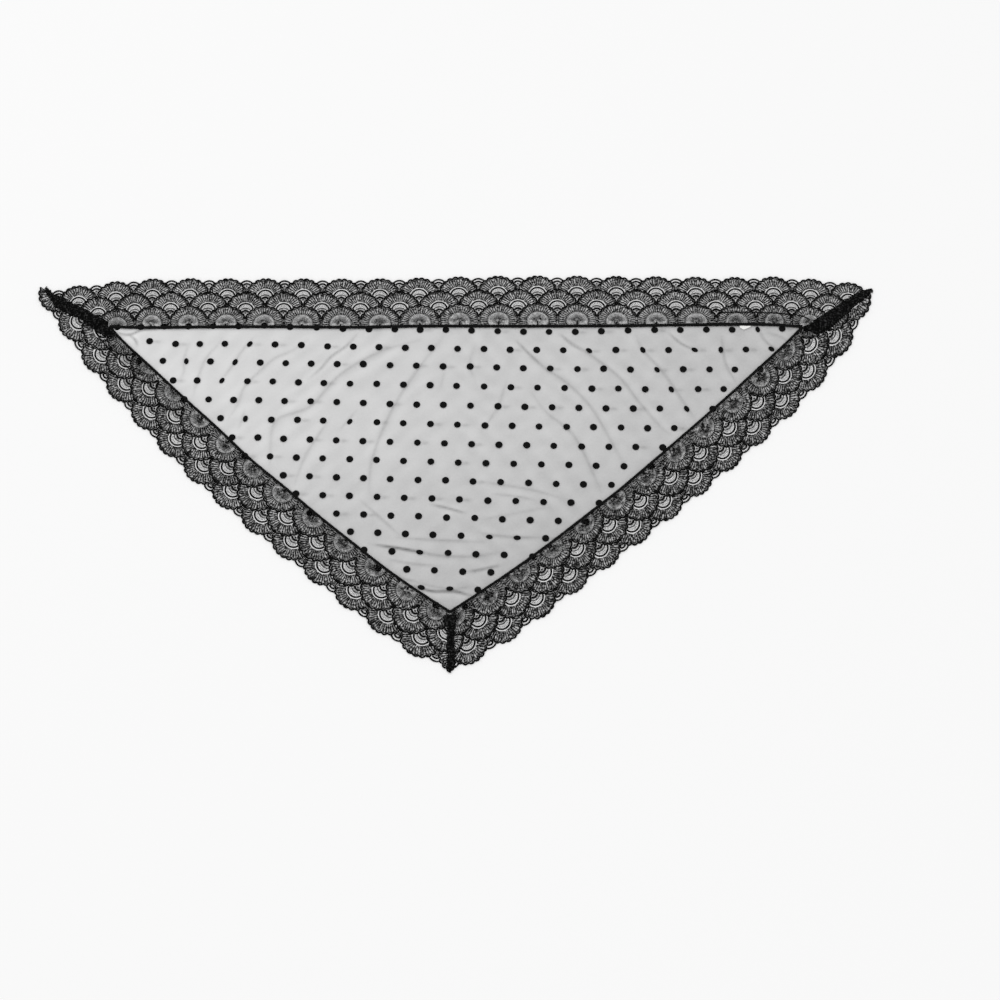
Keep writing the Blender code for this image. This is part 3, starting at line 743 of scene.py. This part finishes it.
# Round cords by row, where -1 is the small scallop: the radius, how far it turns to each side of
# the front, its steps, how far inwards its centre is dropped, its half width and its height.
Arc = namedtuple("Arc", "radius turn steps drop half high")
OUTER_ARCS = [
    Arc(0.0128, 1.9, 24, 0.0, 0.00145, ARC_HIGH), Arc(0.0113, 0.9, 10, 0.0070, 0.00065, THREAD_HIGH),
    Arc(0.0065, 1.15, 10, 0.0070, 0.00160, ARC_HIGH), Arc(0.0008, 2.6, 8, 0.0052, 0.0008, ARC_HIGH),
]
SCALLOP_ARCS = [
    Arc(SCALLOP_REACH - 0.0003, 2.0, 16, 0.0, 0.00125, RIM_HIGH),
    Arc(0.0071, 2.0, 16, 0.0, 0.0015, ARC_HIGH), Arc(0.0006, 2.6, 8, -0.0022, 0.0007, ARC_HIGH),
]
INNER_ARCS = [Arc(0.0192, 1.8, 24, 0.0, 0.00030, THREAD_HIGH)]
ARCS = {-1: SCALLOP_ARCS, 0: OUTER_ARCS, 1: OUTER_ARCS, 2: INNER_ARCS}
# Straight threads by row: how many, how far apart, between which radii, half width and height.
Spokes = namedtuple("Spokes", "count apart start end half high")
OUTER_SPOKES = [Spokes(8, PETAL_TURN, 0.0070, 0.0100, 0.00030, THREAD_HIGH / 2)]
INNER_SPOKES = [
    Spokes(35, PETAL_TURN / 3, 0.0166, 0.0190, 0.00028, THREAD_HIGH),
    Spokes(19, PETAL_TURN / 2, 0.0050, 0.0150, 0.00030, THREAD_HIGH / 2),
    Spokes(1, 0.0, 0.0, -0.0070, 0.0012, THREAD_HIGH),
]
SPOKES = {-1: [], 0: OUTER_SPOKES, 1: OUTER_SPOKES, 2: INNER_SPOKES}


def points_along(line, at):
    """Points of a line at places counted in its own points."""
    return np.column_stack([np.interp(at, np.arange(len(line)), line[:, k]) for k in (0, 1)])


def round_centre(centre, radius, angle):
    """Points round a fan's centre; angles are measured from outwards."""
    return np.column_stack([centre[0] + radius * np.sin(angle), centre[1] - radius * np.cos(angle)])


def visible_runs(lace, row, centre, line):
    """The stretches of a cord that show, each as points in the lace's own coordinates."""
    fine = points_along(line, np.linspace(0, len(line) - 1, FINE * (len(line) - 1) + 1))
    seen = shows(lace, row, centre, fine[:, 0], fine[:, 1])
    seen &= lace.is_within(fine[:, 0], fine[:, 1])
    runs, start = [], None
    for i, is_seen in enumerate(np.append(seen, False)):
        if is_seen and start is None:
            start = i
        elif not is_seen and start is not None:
            if i - 1 - start >= 2:
                inner = [k for k in range(start + 1, i - 1) if k % FINE == 0]
                runs.append(fine[[start] + inner + [i - 1]])
            start = None
    return runs


def add_cord(lace, cords, run, half, high):
    """Adds one closed ridge."""
    section = THREAD_SECTION if high <= THREAD_HIGH else CORD_SECTION
    place = lace.place(run[:, 0], run[:, 1])
    ground = lace.height(run[:, 0], run[:, 1])
    left = outward(place)
    layers = [np.column_stack([place + left * half * x, ground + high * up]) for x, up in section]
    cords["faces"] += tube_faces(len(cords["points"]), len(run), len(section))
    cords["points"] += np.stack(layers, axis=1).reshape(-1, 3).tolist()


def petal_loop(centre, angle):
    """Looped thread of one petal: up one side, round its tip and back down the other side."""
    middle = round_centre(centre, np.array([p.radius for p in PETAL]), angle)
    off = np.outer([p.half for p in PETAL], [math.cos(angle), math.sin(angle)])
    return np.concatenate([middle - off, (middle + off)[::-1]])


def fan_cords(lace, row, centre, cords):
    """All the cords of one fan, or of one small scallop."""
    def lay(line, half, high):
        for run in visible_runs(lace, row, centre, line):
            add_cord(lace, cords, run, half, high)

    if row >= 0:
        rim_line = round_centre(centre, fan_rim(outer_angles, FAN_REACH), outer_angles)
        side_half = RIM_HALF if row else RIM_SIDE_HALF
        lay(rim_line[RIM_SIDE:-RIM_SIDE], RIM_HALF, RIM_HIGH)
        lay(rim_line[:RIM_SIDE + 1], side_half, RIM_HIGH)
        lay(rim_line[-RIM_SIDE - 1:], side_half, RIM_HIGH)
        for petal in range(-6, 6):
            lay(petal_loop(centre, (petal + 0.5) * PETAL_TURN), THREAD_HALF, THREAD_HIGH)
    for arc in ARCS[row]:
        angle = np.linspace(-arc.turn, arc.turn, arc.steps + 1)
        lay(round_centre((centre[0], centre[1] + arc.drop), arc.radius, angle), arc.half, arc.high)
    for spokes in SPOKES[row]:
        ends = np.array([spokes.start, spokes.end])
        for spoke in range(spokes.count):
            at = (spoke - (spokes.count - 1) / 2) * spokes.apart
            lay(round_centre(centre, ends, at), spokes.half, spokes.high)


def meeting_depth(band, row):
    """Where the rims of two neighbouring fans of a row cross."""
    return band.depths[row] - math.sqrt(FAN_REACH**2 - (PITCH / 2) ** 2)


def knot(lace, cords, x, v, half):
    """A dense knot where fans meet."""
    spot = np.array([[x, v + along] for along in KNOT_ALONG])
    if lace.is_within(spot[:, 0], spot[:, 1]).all():
        add_cord(lace, cords, spot, half, KNOT_HIGH)


lace_net, tree, shader = cloth_material("lace_net", (0.007, 0.007, 0.007), 0.80, sheen=0.01)
meshes = fine_bump(tree, shader, 340.0, 0.0003)
see_through(tree, shader, meshes, "closeness", NET_MOTTLE)
lace_thread, tree, shader = cloth_material("lace_thread", (0.003, 0.003, 0.003), 0.80, sheen=0.01)
fine_bump(tree, shader, 1800.0, 0.0002)

for band in BANDS:
    lace = Lace(band)
    net = {"points": [], "faces": [], "close": []}
    cords = {"points": [], "faces": []}
    for row, zones in ((0, OUTER_FAN), (1, OUTER_FAN), (2, INNER_FAN)):
        for number in range(lace.first, lace.last + 1):
            centre = ((number + 0.5 * (row % 2)) * PITCH, band.depths[row])
            net_patch(lace, row, centre, zones, FAN_REACH, net)
            fan_cords(lace, row, centre, cords)
            if row < 2:
                knot(lace, cords, centre[0], meeting_depth(band, row + 1), KNOT_HALF)
    for number in range(lace.first, lace.last):
        centre = ((number + 0.5) * PITCH, SCALLOP_CENTRE)
        net_patch(lace, -1, centre, SCALLOP, SCALLOP_REACH, net)
        for out, half in SCALLOP_KNOTS:
            knot(lace, cords, centre[0], meeting_depth(band, 0) - out, half)
        fan_cords(lace, -1, centre, cords)

    ground = new_piece("net_" + band.name, net["points"], net["faces"], lace_net)
    dense = np.minimum(band.dense * np.array(net["close"]), CLOSEST)
    ground.data.attributes.new("closeness", "FLOAT", "FACE").data.foreach_set("value", dense)
    bm = bmesh.new()
    bm.from_mesh(ground.data)
    for (corner, tip), side in ((band.mitre_before, 1), (band.mitre_after, -1)):
        run = Vector((tip[0] - corner[0], tip[1] - corner[1], 0.0)).normalized()
        bmesh.ops.bisect_plane(
            bm, geom=bm.verts[:] + bm.edges[:] + bm.faces[:], plane_co=(*corner, 0.0),
            plane_no=(-run.y * side, run.x * side, 0.0), clear_outer=True,
        )
    loose = [v for v in bm.verts if not v.link_faces]
    bmesh.ops.delete(bm, geom=loose, context="VERTS")
    bm.to_mesh(ground.data)
    bm.free()
    threads = new_piece("cords_" + band.name, cords["points"], cords["faces"], lace_thread, smooth=False)
    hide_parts("lace_" + band.name)

# Overlocked seams
# Each band is overlocked to the panel: a firm round roll of black thread, with slanting stitches
# close together all along it.

ROLL_FOOT = 0.0013
ROLL_HIGH = 0.0016
ROLL_SIDES = 8
STITCH_STEP = 0.0030
STITCH_RINGS = 5
STITCH_HALF = 0.16            # half the width of a stitch, in steps
STITCH_OUT = 1.08             # how far it goes round the roll, in the roll's half widths,
STITCH_RISE = 0.0004          # and how far it stands up from it

seam_cover, tree, shader = cloth_material("seam_thread", (0.004, 0.004, 0.004), 0.70, sheen=0.02)
fine_bump(tree, shader, 1600.0, 0.0003)

for side in SEWING_LINES:
    line = seams[side.name]
    out = outward(line)
    stretch = np.linalg.norm(np.diff(line, axis=0), axis=1).sum()
    count = int(stretch / STITCH_STEP)
    at = np.linspace(0, len(line) - 1, count + 1)
    fine = points_along(line, at)
    fine_out = points_along(out, at)
    wobble = random.Random(side.name)
    points = []
    for spot, away in zip(fine, fine_out):
        half = side.roll * wobble.uniform(0.85, 1.12)
        for turn in 2 * math.pi * np.arange(ROLL_SIDES) / ROLL_SIDES:
            up = ROLL_FOOT + ROLL_HIGH * (0.5 + 0.5 * math.sin(turn))
            points.append((*(spot + away * half * math.cos(turn)), up))
    faces = tube_faces(0, count + 1, ROLL_SIDES, turned_over=True)
    for i in range(count):
        ahead = fine[i + 1] - fine[i]
        faces += tube_faces(len(points), STITCH_RINGS, 3)
        for share in np.linspace(0.0, 1.0, STITCH_RINGS):
            turn = math.pi * (0.04 + 0.92 * share)
            away = fine_out[i] * math.cos(turn)
            middle = fine[i] + ahead * (0.25 + 0.5 * share) + away * side.roll * STITCH_OUT
            up = ROLL_FOOT + ROLL_HIGH * (0.5 + 0.5 * math.sin(turn))
            points.append((*(middle - ahead * STITCH_HALF), up))
            points.append((*(middle + away * STITCH_RISE / 2), up + STITCH_RISE))
            points.append((*(middle + ahead * STITCH_HALF), up))
    roll = new_piece("seam_roll_" + side.name, points, faces, seam_cover)
    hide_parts("seam_" + side.name)

# Gathered mitres
# At each tip and at the point the two bands are drawn together and oversewn. It makes a thick,
# uneven, nearly black strip that lies on top of the lace.

Strip = namedtuple("Strip", "along left right height")
MITRES = {
    "left": ((-0.5600, 0.2430), (-0.6880, 0.3280), [
        Strip(0.0010, 0.0105, -0.0050, 0.0012), Strip(0.0080, 0.0160, -0.0036, 0.0018),
        Strip(0.0190, 0.0182, -0.0010, 0.0024), Strip(0.0245, 0.0188, 0.0067, 0.0027),
        Strip(0.0370, 0.0182, 0.0060, 0.0027), Strip(0.0500, 0.0168, 0.0052, 0.0022),
        Strip(0.0700, 0.0146, 0.0060, 0.0026), Strip(0.0870, 0.0156, 0.0035, 0.0021),
        Strip(0.1040, 0.0187, 0.0022, 0.0024), Strip(0.1190, 0.0196, 0.0020, 0.0020),
        Strip(0.1320, 0.0122, -0.0010, 0.0016), Strip(0.1450, 0.0082, 0.0010, 0.0012),
        Strip(0.1530, 0.0010, 0.0030, 0.0010),
    ]),
    "right": ((0.5770, 0.2500), (0.7000, 0.3240), [
        Strip(0.0080, 0.0010, 0.0105, 0.0016), Strip(0.0150, 0.0014, 0.0196, 0.0024),
        Strip(0.0260, 0.0030, 0.0227, 0.0029), Strip(0.0400, 0.0040, 0.0245, 0.0031),
        Strip(0.0530, 0.0050, 0.0215, 0.0028), Strip(0.0700, 0.0061, 0.0175, 0.0029),
        Strip(0.0920, 0.0078, 0.0122, 0.0025), Strip(0.1040, 0.0086, 0.0100, 0.0023),
        Strip(0.1180, 0.0080, 0.0079, 0.0020), Strip(0.1300, 0.0070, 0.0058, 0.0015),
        Strip(0.1435, 0.0025, 0.0030, 0.0011),
    ]),
    "point": ((-0.0030, -0.2490), (-0.0030, -0.3510), [
        Strip(0.0050, 0.0080, 0.0100, 0.0015), Strip(0.0110, 0.0090, 0.0130, 0.0024),
        Strip(0.0190, 0.0080, 0.0110, 0.0026), Strip(0.0270, 0.0070, 0.0062, 0.0022),
        Strip(0.0450, 0.0062, 0.0058, 0.0024), Strip(0.0640, 0.0064, 0.0052, 0.0021),
        Strip(0.0800, 0.0074, 0.0050, 0.0023), Strip(0.0900, 0.0080, 0.0048, 0.0018),
        Strip(0.1020, 0.0012, 0.0010, 0.0010),
    ]),
}
GATHER_STEP = 0.0012
GATHER_LANES = 14
GATHER_LIES = 0.0013
GATHER_LAP = 0.045            # it lies higher, on the lap over the allowance, up to here,
GATHER_SLOPE = 0.014          # and slopes down to the lace over this length
GATHER_THIN = 0.0002
RAGGED = 0.00040              # how unevenly its two edges run,
FRAY = 0.0011                 # and how far the lace's threads stand out of them

gathered, tree, shader = cloth_material("gathered_lace", (0.003, 0.003, 0.003), 0.90, sheen=0.01)
packed = fine_bump(tree, shader, 330.0, 0.0012)
# Painted highlight: the raised threads, where the bump stands highest, are coloured a little lighter.
shade = add_node(tree, "ShaderNodeMapRange", To_Min=0.001, To_Max=0.045)
shade.inputs["From Min"].default_value = 0.52
shade.inputs["From Max"].default_value = 0.75
tree.links.new(packed.outputs["Fac"], shade.inputs["Value"])
tree.links.new(shade.outputs["Result"], shader.inputs["Base Color"])

for name, (start, end, rows) in MITRES.items():
    start, end = np.array(start), np.array(end)
    ahead = (end - start) / np.linalg.norm(end - start)
    left = np.array([-ahead[1], ahead[0]])
    along = np.arange(rows[0].along, rows[-1].along, GATHER_STEP)
    at, *shapes = np.array(rows).T
    reach_left, reach_right, rise = [np.interp(along, at, shape) for shape in shapes]
    frill = random.Random("gather " + name)
    waves = [(frill.uniform(500, 1500), frill.uniform(-500, 500), frill.uniform(0, 6.3)) for _ in range(9)]
    ragged = [(frill.uniform(300, 1700), frill.uniform(0, 6.3)) for _ in range(6)]
    edge_left = sum(np.sin(f * along + p) for f, p in ragged[:3]) * RAGGED
    edge_left += [frill.uniform(-FRAY, FRAY) for _ in along]
    edge_right = sum(np.sin(f * along + p) for f, p in ragged[3:]) * RAGGED
    edge_right += [frill.uniform(-FRAY, FRAY) for _ in along]
    lanes = np.linspace(-1.0, 1.0, GATHER_LANES + 1)
    port, starboard = (reach_left + edge_left)[:, None], (reach_right + edge_right)[:, None]
    across = (port - starboard) / 2 + lanes * (port + starboard) / 2
    spots = start + ahead * along[:, None, None] + across[..., None] * left
    out = past_seam(spots.reshape(-1, 2)).reshape(across.shape)
    ground = GATHER_LIES + LIFT * np.clip((GATHER_LAP - out) / GATHER_SLOPE, 0.0, 1.0)
    crown = np.sqrt(np.clip(1.0 - lanes**2, 0.0, None))
    folds = sum(np.sin(f * along[:, None] + g * across + p) for f, g, p in waves) / 3.2
    high = GATHER_THIN + np.clip(rise[:, None] * crown * (0.78 + 0.30 * folds), 0.0, None)
    upper = np.dstack([spots, ground + high])
    under = np.dstack([spots, ground])
    points = np.concatenate([upper, under[:, ::-1]], axis=1).reshape(-1, 3)
    faces = tube_faces(0, len(along), 2 * len(lanes), turned_over=True)
    strip = new_piece("gathers_" + name, points, faces, gathered)
    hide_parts("mitre_" + name)

# Label end
# The folded end of a plain white ribbon, caught in the top seam near the right corner. Only a
# sliver of it shows.

LABEL_FROM = 0.4740
LABEL_TO = 0.4920
LABEL_DROP = 0.0078
LABEL_LOWEST = 0.35           # how far along its width it hangs lowest
LABEL_STATIONS = 9
LABEL_OFF = 0.0022            # off the sewing line, just beside the roll
LABEL_LIES = 0.0019
RIBBON_FOLD = 0.0003

ribbon, tree, shader = cloth_material("label_ribbon", (0.80, 0.80, 0.78), 0.45, sheen=0.2, gloss=0.5)
fine_bump(tree, shader, 2500.0, 0.0001)
across = np.linspace(LABEL_FROM, LABEL_TO, LABEL_STATIONS)
top_edge = np.interp(across, seams["top"][:, 0], seams["top"][:, 1]) - LABEL_OFF
shares = np.linspace(0.0, 1.0, LABEL_STATIONS)
drops = LABEL_DROP * np.interp(shares, (0.0, LABEL_LOWEST, 1.0), (0.45, 1.0, 0.30))
# The ribbon from its upper face round the fold to its lower face, as shares of drop and fold.
profile = [
    (0.0, 0.5), (0.35, 0.6), (0.7, 0.5), (0.93, 0.4), (1.0, 0.0), (0.93, -0.4), (0.5, -0.45),
    (0.0, -0.45),
]
points, faces = [], []
for x, edge, drop in zip(across, top_edge, drops):
    for down, up in profile:
        points.append((x, edge - drop * down, LABEL_LIES + 2 * RIBBON_FOLD * up))
for i in range(LABEL_STATIONS - 1):
    for k in range(len(profile) - 1):
        a = i * len(profile) + k
        faces.append((a, a + 1, a + len(profile) + 1, a + len(profile)))
label = new_piece("label", points, faces, ribbon)
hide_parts("label_tab")

# Table, light and camera
# A plain pale table top under soft even light, seen from above the point, a little off upright.

bpy.ops.mesh.primitive_plane_add(size=60.0)
floor = bpy.context.object
floor.name = "floor"
paper, tree, shader = cloth_material("pale_table", (0.90, 0.90, 0.90), 0.9, gloss=0.0)
floor.data.materials.append(paper)
floor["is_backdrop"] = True

world = bpy.data.worlds.new("soft_studio")
world.use_nodes = True
world.node_tree.nodes["Background"].inputs["Color"].default_value = (1.0, 1.0, 1.0, 1.0)
world.node_tree.nodes["Background"].inputs["Strength"].default_value = 1.035
bpy.context.scene.world = world

LIGHT_AT = Vector((-1.3, 1.1, 2.4))
lamp = bpy.data.lights.new("softbox", "AREA")
lamp.size = 1.8
lamp.energy = 2.5
softbox = bpy.data.objects.new("softbox", lamp)
softbox.location = LIGHT_AT
softbox.rotation_euler = (-LIGHT_AT).to_track_quat("-Z", "Y").to_euler()
bpy.context.scene.collection.objects.link(softbox)

CAMERA_AIM = Vector((0.0750, -0.0568, 0.0))
CAMERA_AWAY = 3.8126
CAMERA_TILT = math.radians(22.32)
eye = bpy.data.cameras.new("camera")
eye.lens = 85.0
eye.sensor_width = 36.0
camera = bpy.data.objects.new("camera", eye)
back = Vector((0.0, -math.sin(CAMERA_TILT), math.cos(CAMERA_TILT)))
camera.location = CAMERA_AIM + CAMERA_AWAY * back
camera.rotation_euler = (CAMERA_TILT, 0.0, 0.0)
bpy.context.scene.collection.objects.link(camera)
bpy.context.scene.camera = camera
bpy.context.scene.view_settings.view_transform = "Standard"

low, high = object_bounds()
